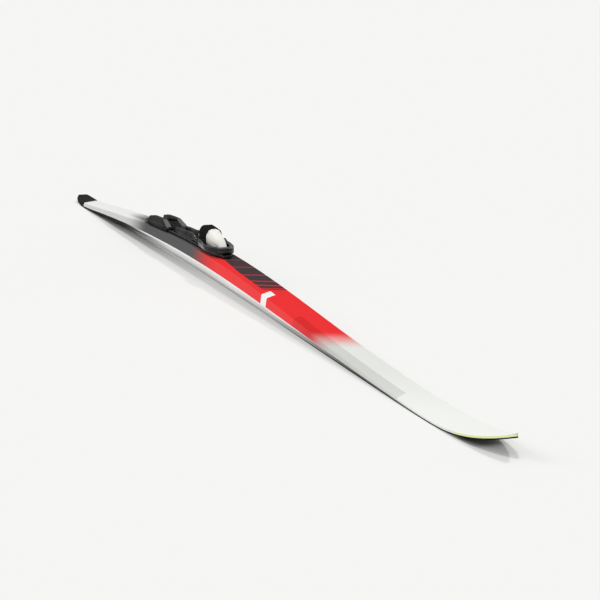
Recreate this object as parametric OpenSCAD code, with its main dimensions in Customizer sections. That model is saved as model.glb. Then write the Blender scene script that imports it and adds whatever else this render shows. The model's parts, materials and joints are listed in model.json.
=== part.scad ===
// Cross-country ski with a toe binding, guide rails and a sliding heel unit.
// +X points to the tip, +Y to the ski's left side, +Z up. The origin lies on the ground
// under the middle of the ski's length. Millimetres.

/* [Ski outline] */
// Overall length from the tail to the tip
ski_l = 2000; // [1850:10:2100]
// Width under the foot
waist_w = 45.5; // [44:0.5:50]
// Width where the body ends near the tip and the tail
end_w = 44; // [42:0.5:48]
// Width of the square-cut tail end
tail_end_w = 21; // [16:0.5:30]
// Width at the front edge of the tail protector
tail_shoulder_w = 38.5; // [34:0.5:42]
// Length over which the tail narrows from its full width
tail_taper_l = 120; // [80:5:200]
// Length over which the tip narrows to its nose
tip_taper_l = 120; // [90:5:160]
// Width of the blunt nose at the very tip
nose_w = 3; // [2.6:0.2:10]

/* [Ski side view] */
// Height of the unloaded arch
arch_h = 14.5; // [8:0.5:25]
// Place of the arch's highest point, from the middle of the ski
arch_x = -126; // [-200:1:-40]
// Length of each flat zone that touches the ground
contact_l = 24; // [16:1:60]
// Length of the upturned tip, from the front contact zone
tip_rise_l = 160; // [120:5:220]
// Height that the tip's base rises
tip_rise_h = 22.2; // [15:0.1:40]
// Length of the upturned tail, from the rear contact zone
tail_rise_l = 92; // [84:1:140]
// Height that the tail's base rises
tail_rise_h = 5.2; // [2:0.2:12]
// Thickness at the middle
mid_t = 29.5; // [24:0.5:32]
// Thickness at the tail
tail_t = 8; // [6.5:0.1:10]
// Thickness of the front body, where the belly ends
front_t = 4.7; // [4.5:0.1:8]
// Thickness at the tip
tip_t = 5; // [4.6:0.1:8]
// Length of the belly behind the middle
belly_rear_l = 1060; // [900:10:1100]
// Length of the belly ahead of the middle
belly_front_l = 808; // [700:10:840]

/* [Ski layers] */
// Thickness of the running base
base_t = 1.3; // [1:0.1:1.8]
// Width of the groove along the running base
groove_w = 8; // [4:0.5:12]
// Depth of the groove along the running base
groove_d = 0.6; // [0.3:0.1:0.8]
// Thickness of the top sheet
sheet_t = 1.2; // [0.8:0.1:1.5]
// Thickness of the sidewalls and of the top sheet's flanks
side_t = 1.6; // [1.2:0.1:2.5]
// Height of the sidewall line at the middle
side_mid_h = 14; // [8:0.5:18]
// Height of the sidewall line at the tail
side_tail_h = 2.7; // [2.2:0.1:4]
// Height of the sidewall line where the belly ends ahead
side_front_h = 2.5; // [2.2:0.1:3]
// Height of the sidewall line at the tip
side_tip_h = 3.3; // [3:0.1:4]
// Inward lean of the top sheet's flanks at the middle
flank_mid = 2.2; // [1.5:0.1:7]
// Inward lean of the top sheet's flanks at both ends
flank_end = 2.4; // [1.5:0.1:3]
// Size of the rounding between the top and its flanks
top_round = 1.2; // [0.6:0.1:1.8]
// Glue line between layers and pieces that lie on each other
glue = 0.1; // [0.05:0.01:0.2]
// Length of the tail protector
tail_guard_l = 80; // [60:1:82]
// Length of the moulded tip piece
tip_piece_l = 91; // [70:1:120]

/* [Binding plate] */
// Rear end of the plate, from the middle of the ski
plate_rear_x = -415; // [-440:1:-400]
// Front end of the plate, from the middle of the ski
plate_front_x = 62; // [50:1:70]
// Width of the plate's flanges
plate_w = 30; // [28:0.5:32]
// Height of the plate
plate_h = 5; // [4.6:0.1:7]
// Thickness of the plate's flanges
flange_t = 2; // [1.5:0.1:2.5]
// Overhang of the flanges past the plate's foot
flange_over = 3; // [2:0.1:4]
// Length over which the plate's ends narrow
plate_taper_l = 30; // [15:1:40]
// Width of the plate's narrowed ends
plate_end_w = 14; // [10:0.5:20]
// Shank diameter of the binding screws
screw_d = 4; // [3.5:0.1:4.5]
// Head diameter of the binding screws
screw_head_d = 8; // [6:0.1:8.5]
// Depth that the binding screws reach into the ski
screw_bite = 13; // [10:0.5:16]

/* [Toe unit] */
// Place of the boot bar's axis, from the middle of the ski
bar_x = -64; // [-80:1:-60]
// Height of the boot bar's axis over the plate
bar_h = 8; // [7:0.1:9]
// Radius of the seat that holds the boot bar
bar_seat_r = 2.1; // [1.95:0.01:2.3]
// Width of the block that carries the boot bar
bar_block_w = 21; // [19:0.5:23]
// Thickness of the toe housing's floor
toe_floor_t = 4.2; // [3.8:0.1:5]
// Width of the toe housing
toe_w = 28; // [26:0.5:30]
// Distance from the boot bar to the lever's shaft
shaft_x = 44; // [42:0.5:46]
// Height of the lever's shaft over the plate
shaft_h = 7; // [6.8:0.1:7.4]
// Diameter of the lever's shaft
shaft_d = 4; // [3.6:0.1:4.2]
// Radial running clearance of the lever's shaft
shaft_play = 0.05; // [0.02:0.01:0.1]
// Distance from the boot bar to the flexor's rear face
flexor_x = 16; // [14:0.5:18]
// Length of the flexor
flexor_l = 37; // [34:0.5:38]
// Width of the flexor
flexor_w = 25; // [22:0.5:26]
// Height of the flexor's top over the plate
flexor_h = 30; // [26:0.5:34]
// Number of grooves round the flexor
flexor_grooves = 5; // [3:1:7]
// Length of the toe cap
cap_l = 51; // [46:0.5:54]
// Width of the toe cap at its rear
cap_w = 24; // [20:0.5:26]
// Width of the toe cap's front edge
cap_front_w = 10; // [6:0.5:14]
// Height of the toe cap's rear edge over the plate
cap_h = 28; // [24:0.5:31]
// Height of the toe cap's front edge over the plate
cap_front_h = 17; // [12:0.5:20]

/* [Jaw] */
// Width of the jaw
jaw_w = 12; // [10:0.5:13]
// Thickness of the jaw's steel strip
jaw_t = 2; // [1.6:0.1:2.2]
// Travel of the jaw when the lever is fully up
jaw_travel = 3.44; // [3:0.01:4]
// Clearance round the jaw in its channel
jaw_play = 0.3; // [0.2:0.05:0.5]
// Radius of the cam pin under the shaft
cam_r = 1.5; // [1.2:0.1:1.7]
// Distance from the shaft to the cam pin
cam_arm = 4.2; // [4:0.1:4.4]

/* [Lever] */
// Distance from the boot bar to the lever's front
lever_x = 122; // [118:0.5:126]
// Outer width across the lever's arms
lever_w = 42; // [40:0.5:44]
// Inner width between the lever's arms
lever_gap_w = 31; // [29.5:0.5:32]
// Thickness of the lever's grip, front to back
grip_l = 13; // [10:0.5:15]
// Height of the lever's top over the plate
lever_top_h = 9; // [8:0.5:11]

/* [Guide rails] */
// Distance from the boot bar back to the guide rails
guide_gap = 20; // [20:0.5:24]
// Length of the guide rails
guide_l = 116; // [100:1:118]
// Height of the guide rails over the plate
guide_h = 9.5; // [7:0.5:11]
// Clear width between the two guide rails
guide_clear_w = 11; // [9:0.5:13]
// Width of each guide rail at its foot
guide_rail_w = 7; // [5:0.5:8]

/* [Heel unit] */
// Middle of the heel unit, from the middle of the ski
heel_x = -290; // [-300:1:-286]
// Length of the heel unit
heel_l = 130; // [120:1:134]
// Length of the ramps at the front of the heel ridges
heel_ramp_l = 32; // [20:1:40]
// Width of the heel unit
heel_w = 36; // [34.5:0.5:38]
// Height of the heel ridges over the plate
heel_h = 12.5; // [10:0.5:15]
// Clear width between the heel ridges
heel_clear_w = 16; // [12:0.5:18]
// Width of each heel ridge at its foot
heel_ridge_w = 9; // [7:0.5:9.5]
// Sliding clearance between the heel unit and the plate
slide_play = 0.4; // [0.3:0.05:0.6]
// Thickness of the heel unit's floor
heel_floor_t = 3; // [2.5:0.1:4]
// Width of the rubber heel pad
pad_w = 14; // [8:0.5:15]
// Height of the rubber heel pad
pad_h = 3; // [2:0.1:5]
// Diameter of the clamp lever's pin
clamp_pin_d = 3; // [2.5:0.1:3.5]
// Length of the clamp lever, from its pin
clamp_l = 35; // [33:0.5:36]

/* [Hidden] */
$fn = 48;

// Ends and contact zones along X
tail_x = -ski_l / 2;
tip_x = ski_l / 2;
guard_x = tail_x + tail_guard_l;
tip_piece_x = tip_x - tip_piece_l;
rear_lift_x = tail_x + tail_rise_l;
rear_flat_x = rear_lift_x + contact_l;
front_lift_x = tip_x - tip_rise_l;
front_flat_x = front_lift_x - contact_l;
station_step = 40;
tip_step = 8;
eps = 0.01;

// Bell curve that swells from 0 at both belly ends to 1 at the middle
function bell(x) = x < 0
    ? (1 + cos(180 * min(1, -x / belly_rear_l))) / 2
    : (1 + cos(180 * min(1, x / belly_front_l))) / 2;
// Smooth step from 0 to 1 between a and b
function ease(x, a, b) = let (t = max(0, min(1, (x - a) / (b - a)))) t * t * (3 - 2 * t);
function swell(x, rear, mid, front) = (x < 0 ? rear : front)
    + (mid - (x < 0 ? rear : front)) * bell(x);

// Height of the running base: flat contacts, an arch between them and two upturned ends
function arch_z(x) =
    x <= rear_flat_x || x >= front_flat_x ? 0
    : x < arch_x
        ? arch_h * pow(1 - pow((arch_x - x) / (arch_x - rear_flat_x), 2.6), 1.1)
        : arch_h * pow(1 - pow((x - arch_x) / (front_flat_x - arch_x), 1.4), 1.15);
function base_z(x) = arch_z(x)
    + tail_rise_h * pow(max(0, rear_lift_x - x) / tail_rise_l, 2)
    + tip_rise_h * pow(max(0, x - front_lift_x) / tip_rise_l, 2.4);

// Thickness, sidewall line, flank lean and half width at x
function tip_blend(x) = ease(x, front_lift_x - contact_l, tip_piece_x);
function body_t(x) = swell(x, tail_t, mid_t, front_t) + (tip_t - front_t) * tip_blend(x);
function side_h(x) = swell(x, side_tail_h, side_mid_h, side_front_h)
    + (side_tip_h - side_front_h) * tip_blend(x);
function flank(x) = swell(x, flank_end, flank_mid, flank_end);
function tail_w(x) = x < guard_x
    ? tail_end_w + (tail_shoulder_w - tail_end_w) * sqrt(max(0, x - tail_x) / tail_guard_l)
    : tail_shoulder_w + (end_w - tail_shoulder_w) * min(1, (x - guard_x) / tail_taper_l);
function tip_w(x) = let (t = max(0, x - tip_x + tip_taper_l) / tip_taper_l)
    max(nose_w, end_w * pow(max(0, 1 - t * t), 0.75));
function side_curve(x) = end_w + (waist_w - end_w) * pow(cos(90 * min(1, abs(x) / tip_x)), 2);
function half_w(x) = ((x < 0 ? tail_w(x) : tip_w(x)) + side_curve(x) - end_w) / 2;
function top_z(x) = base_z(x) + body_t(x);

// Stations: a regular grid, closer at the tip, with each break of the side view kept
function sorted(v) = len(v) < 2 ? v : let (p = v[floor(len(v) / 2)])
    concat(sorted([for (x = v) if (x < p) x]), [p], sorted([for (x = v) if (x > p) x]));
breaks = [guard_x, rear_lift_x, rear_flat_x, front_flat_x, front_lift_x,
    tip_piece_x - glue, tip_piece_x];
grid = concat([for (x = [tail_x + station_step:station_step:front_lift_x]) x],
    [for (x = [front_lift_x + tip_step:tip_step:tip_x - 1]) x],
    [for (i = [1:6]) tail_x + tail_guard_l * pow(i / 7, 2)],
    [for (i = [1:5]) tip_x - i * i]);
function near_any(x, v, d) = len([for (b = v) if (abs(x - b) < d) b]) > 0;
function stations(a, b) = let (
        inner = [for (x = breaks) if (x > a + 1 && x < b - 1) x],
        kept = concat([a, b], inner))
    sorted(concat(kept, [for (x = grid) if (x > a && x < b && !near_any(x, kept, 1.5)) x]));

// Solid through closed rings of equally many points; rings run along +X. The end faces
// are split into convex parts where a ring has points in one line
module loft(rings, ends = []) {
    n = len(rings[0]);
    m = len(rings);
    caps = len(ends) > 0 ? ends : [[for (j = [0:n - 1]) j]];
    polyhedron(
        points = [for (r = rings) each r],
        faces = concat(
            caps,
            [for (i = [0:m - 2], j = [0:n - 1]) each let (k = (j + 1) % n) [
                [i * n + j, (i + 1) * n + j, (i + 1) * n + k],
                [i * n + j, (i + 1) * n + k, i * n + k]]],
            [for (c = caps) [for (j = [len(c) - 1:-1:0]) (m - 1) * n + c[j]]]),
        convexity = 6);
}
function ring(x, pts) = [for (p = pts) [x, p[0], base_z(x) + p[1]]];
function mirrored(pts) = concat(pts, [for (i = [len(pts) - 1:-1:0]) [-pts[i][0], pts[i][1]]]);
// Three points that round the corner c between a and b by about r
function rounded(a, c, b, r) = let (
        p = c + (a - c) * min(0.4, r / norm(a - c)),
        q = c + (b - c) * min(0.4, r / norm(b - c)))
    [p, (p + 2 * c + q) / 4, q];

// Width of the flank's wall, narrowed where the tip gets slim
function wall(x) = min(side_t, half_w(x) * 0.3);
function lean(x) = min(flank(x), half_w(x) * 0.4);

// Running base with its groove
function base_pts(x) = let (h = half_w(x), g = min(groove_w / 2, h * 0.5)) [
    [-h, 0], [-g, 0], [-g + groove_d, groove_d], [g - groove_d, groove_d], [g, 0], [h, 0],
    [h, base_t], [-h, base_t]];
module base() {
    color([0.07, 0.07, 0.08])
        loft([for (x = stations(tail_x, tip_x)) ring(x, base_pts(x))],
            [[0, 1, 2, 7], [2, 3, 6, 7], [3, 4, 5, 6]]);
}

// Top sheet: a cap that wraps the upper flanks and leaves room for the core
function outer_pts(x) = let (h = half_w(x), t = body_t(x), s = side_h(x), f = lean(x))
    concat([[h, s]], rounded([h, s], [h - f, t], [0, t], top_round));
function core_top(x) = max(side_h(x) + 2 * glue, body_t(x) - sheet_t);
function roof(x) = x > tip_piece_x - eps ? side_h(x) + glue : core_top(x);
function inner_pts(x) = let (h = half_w(x), w = wall(x), f = lean(x), r = roof(x),
        t = body_t(x), s = side_h(x), k = f * (r - s) / (t - s))
    [[h - w, s], [h - w - k, r]];
function sheet_pts(x) = concat(mirrored(outer_pts(x)),
    [for (p = inner_pts(x)) [-p[0], p[1]]], [for (i = [1:-1:0]) inner_pts(x)[i]]);
module top_sheet() {
    color([0.9, 0.9, 0.9])
        loft([for (x = stations(guard_x + glue, tip_x)) ring(x, sheet_pts(x))],
            [[0, 1, 10, 11], [1, 2, 3, 4, 5, 6, 9, 10], [6, 7, 8, 9]]);
}

// Core inside the base, the sidewalls and the top sheet
function core_pts(x) = let (h = half_w(x), w = wall(x), f = lean(x), r = core_top(x),
        t = body_t(x), s = side_h(x), k = f * (r - s) / (t - s))
    [[-(h - w - glue), base_t + glue], [h - w - glue, base_t + glue], [h - w - glue, s],
    [h - w - k - glue, r - glue], [-(h - w - k - glue), r - glue], [-(h - w - glue), s]];
module core() {
    color([0.82, 0.7, 0.5])
        loft([for (x = stations(guard_x + glue, tip_piece_x - glue)) ring(x, core_pts(x))]);
}

// Sidewall strips between the base and the top sheet
module sidewall() {
    color([0.92, 0.92, 0.92])
        loft([for (x = stations(guard_x + glue, tip_piece_x - glue))
            let (h = half_w(x), w = wall(x), lo = base_t + glue, hi = side_h(x) - glue)
            ring(x, [[h - w, lo], [h, lo], [h, hi], [h - w, hi]])]);
}
module sidewall_left() { sidewall(); }
module sidewall_right() { mirror([0, 1, 0]) sidewall(); }

// Moulded tip piece between the base and the top sheet
module tip_piece() {
    color([0.82, 0.93, 0.3])
        loft([for (x = stations(tip_piece_x, tip_x))
            let (h = half_w(x), lo = base_t + glue, hi = side_h(x) - glue)
            ring(x, [[-h, lo], [h, lo], [h, hi], [-h, hi]])]);
}

// Tail protector: the upturned, square-cut end cap
module tail_protector() {
    color([0.16, 0.16, 0.17])
        loft([for (x = stations(tail_x, guard_x))
            let (h = half_w(x), lo = base_t + glue, o = outer_pts(x))
            ring(x, concat([[-h, lo], [h, lo]], mirrored(o)))]);
}

// Frames that lie on the plate: children are drawn with +X along the plate's top at x
function deck_z(x) = top_z(x) + glue + plate_h;
function deck_slope(x) = atan((top_z(x + 1) - top_z(x - 1)) / 2);
module on_deck(x) {
    translate([x, 0, deck_z(x) + glue])
        rotate([0, -deck_slope(x), 0])
            children();
}
toe_mid_x = bar_x + shaft_x;
module toe_frame() {
    on_deck(toe_mid_x)
        translate([bar_x - toe_mid_x, 0, 0])
            children();
}
// Side profile in X and Z, drawn w wide and centred on the ski's middle plane
module side_slab(w) {
    translate([0, w / 2, 0])
        rotate([90, 0, 0])
            linear_extrude(height = w)
                children();
}
// Cross profile in Y and Z, drawn from a along +X by l
module cross_slab(a, l) {
    translate([a, 0, 0])
        rotate([90, 0, 90])
            linear_extrude(height = l)
                children();
}
// Round bar or bore across the ski
module cross_round(r, w) {
    rotate([90, 0, 0])
        cylinder(r = r, h = w, center = true);
}
// Countersunk screw standing on its tip, with its head's top at 0 and a star socket
module screw(len, head_d, shank_d) {
    sink = (head_d - shank_d) / 2;
    difference() {
        rotate_extrude()
            polygon([[0, -len], [shank_d / 2, -len], [shank_d / 2, -sink], [head_d / 2, 0],
                [0, 0]]);
        translate([0, 0, -head_d * 0.2])
            star_socket(head_d * 0.4, head_d * 0.25);
    }
}
module star_socket(d, depth) {
    for (a = [0, 60, 120])
        rotate([0, 0, a])
            translate([-d / 2, -d / 8, 0])
                cube([d, d / 4, depth]);
}
// Countersunk hole with room round the screw
module screw_hole(len, head_d, shank_d, room) {
    sink = (head_d - shank_d) / 2;
    rotate_extrude()
        polygon([[0, -len], [shank_d / 2 + room, -len], [shank_d / 2 + room, -sink - room],
            [head_d / 2 + room, 0], [head_d / 2 + room, 30], [0, 30]]);
}

// Binding plate that follows the ski's top, with undercut flanges and narrowed ends
guide_mid_x = bar_x - guide_gap - guide_l / 2;
plate_screw_xs = [plate_rear_x + 21, guide_mid_x - guide_l / 2 - 12, bar_x - guide_gap + 6];
function plate_half(x) = (plate_end_w + (plate_w - plate_end_w)
    * ease(x, plate_rear_x, plate_rear_x + plate_taper_l)
    * (1 - ease(x, plate_front_x - plate_taper_l, plate_front_x))) / 2;
function plate_pts(x) = let (h = plate_half(x), f = min(flange_over, h * 0.4),
        z = body_t(x) + glue)
    [[-(h - f), z], [h - f, z], [h - f, z + plate_h - flange_t], [h, z + plate_h - flange_t],
    [h, z + plate_h], [-h, z + plate_h], [-h, z + plate_h - flange_t],
    [-(h - f), z + plate_h - flange_t]];
function plate_stations() = sorted(concat(
    [for (i = [0:5]) plate_rear_x + plate_taper_l * i / 5],
    [for (i = [0:5]) plate_front_x - plate_taper_l * i / 5],
    [for (i = [1:20]) plate_rear_x + plate_taper_l
        + (plate_front_x - plate_rear_x - 2 * plate_taper_l) * i / 21]));
module at_plate_screws() {
    for (x = plate_screw_xs)
        translate([x, 0, deck_z(x) - glue])
            rotate([0, -deck_slope(x), 0])
                children();
}
module binding_plate() {
    color([0.17, 0.17, 0.18])
        difference() {
            loft([for (x = plate_stations()) ring(x, plate_pts(x))],
                [[0, 1, 2, 7], [2, 3, 4], [2, 4, 5, 7], [5, 6, 7]]);
            at_plate_screws()
                screw_hole(plate_h + 5, screw_head_d, screw_d, glue);
        }
}
module plate_screws() {
    color([0.6, 0.6, 0.62])
        at_plate_screws()
            screw(plate_h + screw_bite, screw_head_d, screw_d);
}

// Guide rails: one moulding with two ridges that steer the boot's sole
guide_floor_t = 1.6;
guide_screw_d = 3;
guide_head_d = 6;
guide_screw_xs = [-guide_l * 0.28, guide_l * 0.28];
module guide_profile(side) {
    in_y = side * guide_clear_w / 2;
    out_y = side * (guide_clear_w / 2 + guide_rail_w);
    polygon([[in_y, 0], [out_y, 0], [out_y, guide_floor_t + 1], [out_y - side * 1.5, guide_h - 1],
        [out_y - side * 2.5, guide_h], [in_y + side * 1.6, guide_h],
        [in_y + side * 0.8, guide_h - 0.8]]);
}
module guide_side() {
    l = guide_l / 2;
    polygon([[-l, 0], [l, 0], [l, guide_floor_t], [l - 6, guide_h - 2], [l - 10, guide_h],
        [l - 34, guide_h + 0.8], [l - 62, guide_h - 1.5], [8 - l, guide_h - 2],
        [-l, guide_floor_t]]);
}
module guide_rails() {
    color([0.15, 0.15, 0.16])
        on_deck(guide_mid_x)
            difference() {
                union() {
                    intersection() {
                        union() {
                            for (side = [-1, 1])
                                cross_slab(-guide_l / 2, guide_l)
                                    guide_profile(side);
                        }
                        side_slab(plate_w)
                            guide_side();
                    }
                    cross_slab(-guide_l / 2, guide_l)
                        translate([-plate_w / 2 + 1, 0])
                            square([plate_w - 2, guide_floor_t]);
                }
                for (x = guide_screw_xs)
                    translate([x, 0, guide_floor_t])
                        screw_hole(guide_floor_t + 1, guide_head_d, guide_screw_d, glue);
                // Weight-saving slots through the floor between the ridges
                for (x = [-guide_l * 0.1, guide_l * 0.1])
                    translate([x - guide_l * 0.07, -2, -1])
                        cube([guide_l * 0.14, 4, guide_floor_t + 2]);
            }
}
module guide_screws() {
    color([0.6, 0.6, 0.62])
        on_deck(guide_mid_x)
            for (x = guide_screw_xs)
                translate([x, 0, guide_floor_t])
                    screw(guide_floor_t + plate_h - 1, guide_head_d, guide_screw_d);
}

// Toe housing: floor, boot-bar block, shaft block and the cap's seat
housing_front_x = flexor_x + flexor_l + cap_l + 1.5;
shaft_block_x = flexor_x - 2;
shaft_block_w = flexor_w - 5;
shaft_block_h = shaft_h + 5.4;
ear_r = shaft_d / 2 + 2.2;
cap_pin_x = housing_front_x - 15;
cap_pin_h = toe_floor_t + 3.4;
cap_pin_d = 3;
lug_w = 7;
jaw_floor_h = 0.6;
jaw_top_h = jaw_floor_h + jaw_play + jaw_t;
claw_x = bar_seat_r + 1.4;
claw_t = 3.4;
claw_h = bar_h + 9.4;
claw_w = bar_block_w - 3;
lip_low_h = bar_h + bar_seat_r + 0.2;
lip_over = 4.4;
channel_w = jaw_w + 2 * jaw_play;
channel_front_x = shaft_x + 26;
tab_t = 1.8;
tab_w = 5;
tab_top_h = 4.3;
spring_tab_x = shaft_x + 8;
spring_r = 1.9;
spring_wire_d = 0.7;
spring_turns = 6;
toe_screw_pts = [[-13, -8.5], [-13, 8.5], [shaft_x + 33, -8.5], [shaft_x + 33, 8.5]];
toe_nose_l = 40;
nose_power = 2.4;
function round_nose(w, l, n, p) = [for (i = [0:n]) let (t = 90 * i / n)
    [l * pow(sin(90 - t), 2 / p), w / 2 * pow(sin(t), 2 / p)]];
module mirrored_outline(pts) {
    polygon(concat(pts, [for (i = [len(pts) - 1:-1:0]) [pts[i][0], -pts[i][1]]]));
}
module housing_plan() {
    mirrored_outline(concat(
        [for (p = round_nose(toe_w, toe_nose_l, 10, nose_power)) [housing_front_x - toe_nose_l
            + p[0], p[1]]],
        [[-16, toe_w / 2], [-18, toe_w / 2 - 2]]));
}
module boot_bar_block() {
    difference() {
        side_slab(bar_block_w)
            polygon([[-7, 0], [-6, bar_h - 2], [-4, bar_h], [claw_x + 3.2, bar_h],
                [claw_x + 5, bar_h - 3], [claw_x + 6, 0]]);
        // Half-round seat for the boot bar
        translate([0, 0, bar_h])
            cross_round(bar_seat_r, bar_block_w + 2);
    }
}
module shaft_block() {
    side_slab(shaft_block_w)
        polygon([[shaft_block_x, 0], [flexor_x + flexor_l + 6, 0],
            [flexor_x + flexor_l + 6, shaft_block_h - 5],
            [flexor_x + flexor_l - 1, shaft_block_h], [shaft_block_x + 4, shaft_block_h],
            [shaft_block_x, shaft_block_h - 6]]);
    // Ears that carry the shaft between the block and the lever's arms
    for (side = [-1, 1])
        translate([shaft_x, side * (shaft_block_w + toe_w) / 4, shaft_h])
            cross_round(ear_r, (toe_w - shaft_block_w) / 2);
    // Lug for the cap's pin
    difference() {
        translate([cap_pin_x - 4, -lug_w / 2, 0])
            cube([8, lug_w, cap_pin_h + 3]);
        translate([cap_pin_x, 0, cap_pin_h])
            cross_round(cap_pin_d / 2 + 0.02, lug_w + 2);
    }
}
module toe_housing() {
    color([0.14, 0.14, 0.15])
        toe_frame()
            difference() {
                union() {
                    linear_extrude(height = toe_floor_t)
                        housing_plan();
                    boot_bar_block();
                    shaft_block();
                }
                // Channel for the jaw, open where the claw stands
                translate([claw_x - jaw_play, -channel_w / 2, jaw_floor_h])
                    cube([channel_front_x - claw_x + jaw_play, channel_w,
                        jaw_top_h + jaw_play - jaw_floor_h]);
                translate([claw_x - jaw_play, -channel_w / 2, jaw_floor_h])
                    cube([claw_t + jaw_travel + 2 * jaw_play, channel_w, bar_h + 1]);
                // Pocket for the cam
                translate([shaft_x - cam_arm - 2.6, -3.4, jaw_floor_h])
                    cube([2 * cam_arm + 5.2, 6.8, shaft_h + 3.2 - jaw_floor_h]);
                // Room for the tab and the spring ahead of the cam pocket
                translate([shaft_x + cam_arm + 2, -spring_r - 0.6, jaw_floor_h])
                    cube([channel_front_x - shaft_x - cam_arm - 2, 2 * spring_r + 1.2, 5]);
                translate([shaft_x, 0, shaft_h])
                    cross_round(shaft_d / 2 + shaft_play, toe_w + 2);
                for (p = toe_screw_pts)
                    translate([p[0], p[1], toe_floor_t])
                        screw_hole(toe_floor_t + 1, guide_head_d, guide_screw_d, glue);
            }
}
module toe_screws() {
    color([0.6, 0.6, 0.62])
        toe_frame()
            for (p = toe_screw_pts)
                translate([p[0], p[1], toe_floor_t])
                    screw(toe_floor_t + plate_h - 1, guide_head_d, guide_screw_d);
}

// Flexor: a ribbed rubber arch that the boot's toe rolls against
function arch_pts(w, top, foot, in) = let (h = w / 2 - in, t = top - in) [
    [-h, foot], [h, foot], [h, t - 11], [h - 1, t - 7], [h - 3.2, t - 2.8], [h - 6.5, t],
    [6.5 - h, t], [3.2 - h, t - 2.8], [1 - h, t - 7], [-h, t - 11]];
flexor_foot_h = toe_floor_t + glue;
flexor_drop = 4.5;
groove_depth = 1.4;
ear_room = 0.3;
function flexor_top(x) = flexor_h - flexor_drop * max(0, x - flexor_x - 6) / (flexor_l - 6);
module flexor() {
    pitch = (flexor_l - 10) / flexor_grooves;
    color([0.2, 0.2, 0.2])
        toe_frame()
            difference() {
                intersection() {
                    cross_slab(flexor_x - 2, flexor_l + 2)
                        polygon(arch_pts(flexor_w, flexor_h, flexor_foot_h, 0));
                    side_slab(flexor_w + 2)
                        polygon([[flexor_x, flexor_foot_h], [flexor_x - 1, flexor_h - 12],
                            [flexor_x + 0.5, flexor_h - 5], [flexor_x + 3, flexor_h - 1.2],
                            [flexor_x + 6, flexor_h], [flexor_x + flexor_l, flexor_h
                            - flexor_drop], [flexor_x + flexor_l, flexor_foot_h]]);
                }
                // Notches that drop over the shaft's ears
                translate([shaft_x, 0, shaft_h])
                    cross_round(ear_r + ear_room, flexor_w + 2);
                translate([shaft_x - ear_r - ear_room, -flexor_w, -1])
                    cube([2 * (ear_r + ear_room), 2 * flexor_w, shaft_h + 1]);
                // Seat over the shaft block
                side_slab(shaft_block_w + 2 * glue)
                    polygon([[0, 0], [flexor_x + flexor_l + 1, 0],
                        [flexor_x + flexor_l + 1, shaft_block_h + glue],
                        [0, shaft_block_h + glue]]);
                for (i = [0:flexor_grooves - 1]) {
                    x = flexor_x + 7 + pitch * i;
                    cross_slab(x, pitch * 0.4)
                        difference() {
                            translate([-flexor_w, 0])
                                square([2 * flexor_w, flexor_h + 5]);
                            polygon(arch_pts(flexor_w, flexor_top(x + pitch * 0.2), -1,
                                groove_depth));
                        }
                }
            }
}

// Toe cap: a faceted nose over the front of the housing
cap_rear_x = flexor_x + flexor_l + glue;
cap_foot_h = toe_floor_t + glue;
module toe_cap() {
    color([0.93, 0.93, 0.91])
        toe_frame()
            difference() {
                hull() {
                    cross_slab(cap_rear_x, 0.5)
                        polygon([[-cap_w / 2 + 1, cap_foot_h], [cap_w / 2 - 1, cap_foot_h],
                            [cap_w / 2, cap_foot_h + 5], [cap_w / 2, cap_h - 9],
                            [cap_w / 2 - 4, cap_h - 2], [3, cap_h], [-3, cap_h],
                            [4 - cap_w / 2, cap_h - 2], [-cap_w / 2, cap_h - 9],
                            [-cap_w / 2, cap_foot_h + 5]]);
                    cross_slab(cap_rear_x + cap_l - 11, 0.5)
                        polygon([[-cap_front_w / 2 - 2, cap_foot_h],
                            [cap_front_w / 2 + 2, cap_foot_h],
                            [cap_front_w / 2 + 2, cap_front_h - 5],
                            [cap_front_w / 2, cap_front_h], [-cap_front_w / 2, cap_front_h],
                            [-cap_front_w / 2 - 2, cap_front_h - 5]]);
                    translate([cap_rear_x + cap_l - 2, -cap_front_w / 2, cap_foot_h])
                        cube([2, cap_front_w, 4]);
                }
                // Room for the shaft block, the spring's channel and the pin's lug
                translate([cap_rear_x - 1, -shaft_block_w / 2 - glue, -1])
                    cube([flexor_x + flexor_l + 6 + glue - cap_rear_x + 1,
                        shaft_block_w + 2 * glue, shaft_block_h + 1 + glue]);
                translate([cap_rear_x - 1, -spring_r - 0.9, -1])
                    cube([channel_front_x + 0.3 - cap_rear_x + 1, 2 * spring_r + 1.8,
                        jaw_floor_h + 6.3]);
                translate([cap_pin_x - 4 - glue, -lug_w / 2 - glue, 0])
                    cube([8 + 2 * glue, lug_w + 2 * glue, cap_pin_h + 3 + glue]);
                translate([cap_pin_x, 0, cap_pin_h])
                    cross_round(cap_pin_d / 2 + 0.02, cap_w + 2);
            }
}
function cap_half(x) = let (t = (x - cap_rear_x) / (cap_l - 11))
    cap_w / 2 + (cap_front_w / 2 + 2 - cap_w / 2) * t;
module cap_pin() {
    color([0.3, 0.3, 0.3])
        toe_frame()
            translate([cap_pin_x, 0, cap_pin_h])
                cross_round(cap_pin_d / 2, 2 * cap_half(cap_pin_x) - 0.6);
}

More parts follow.
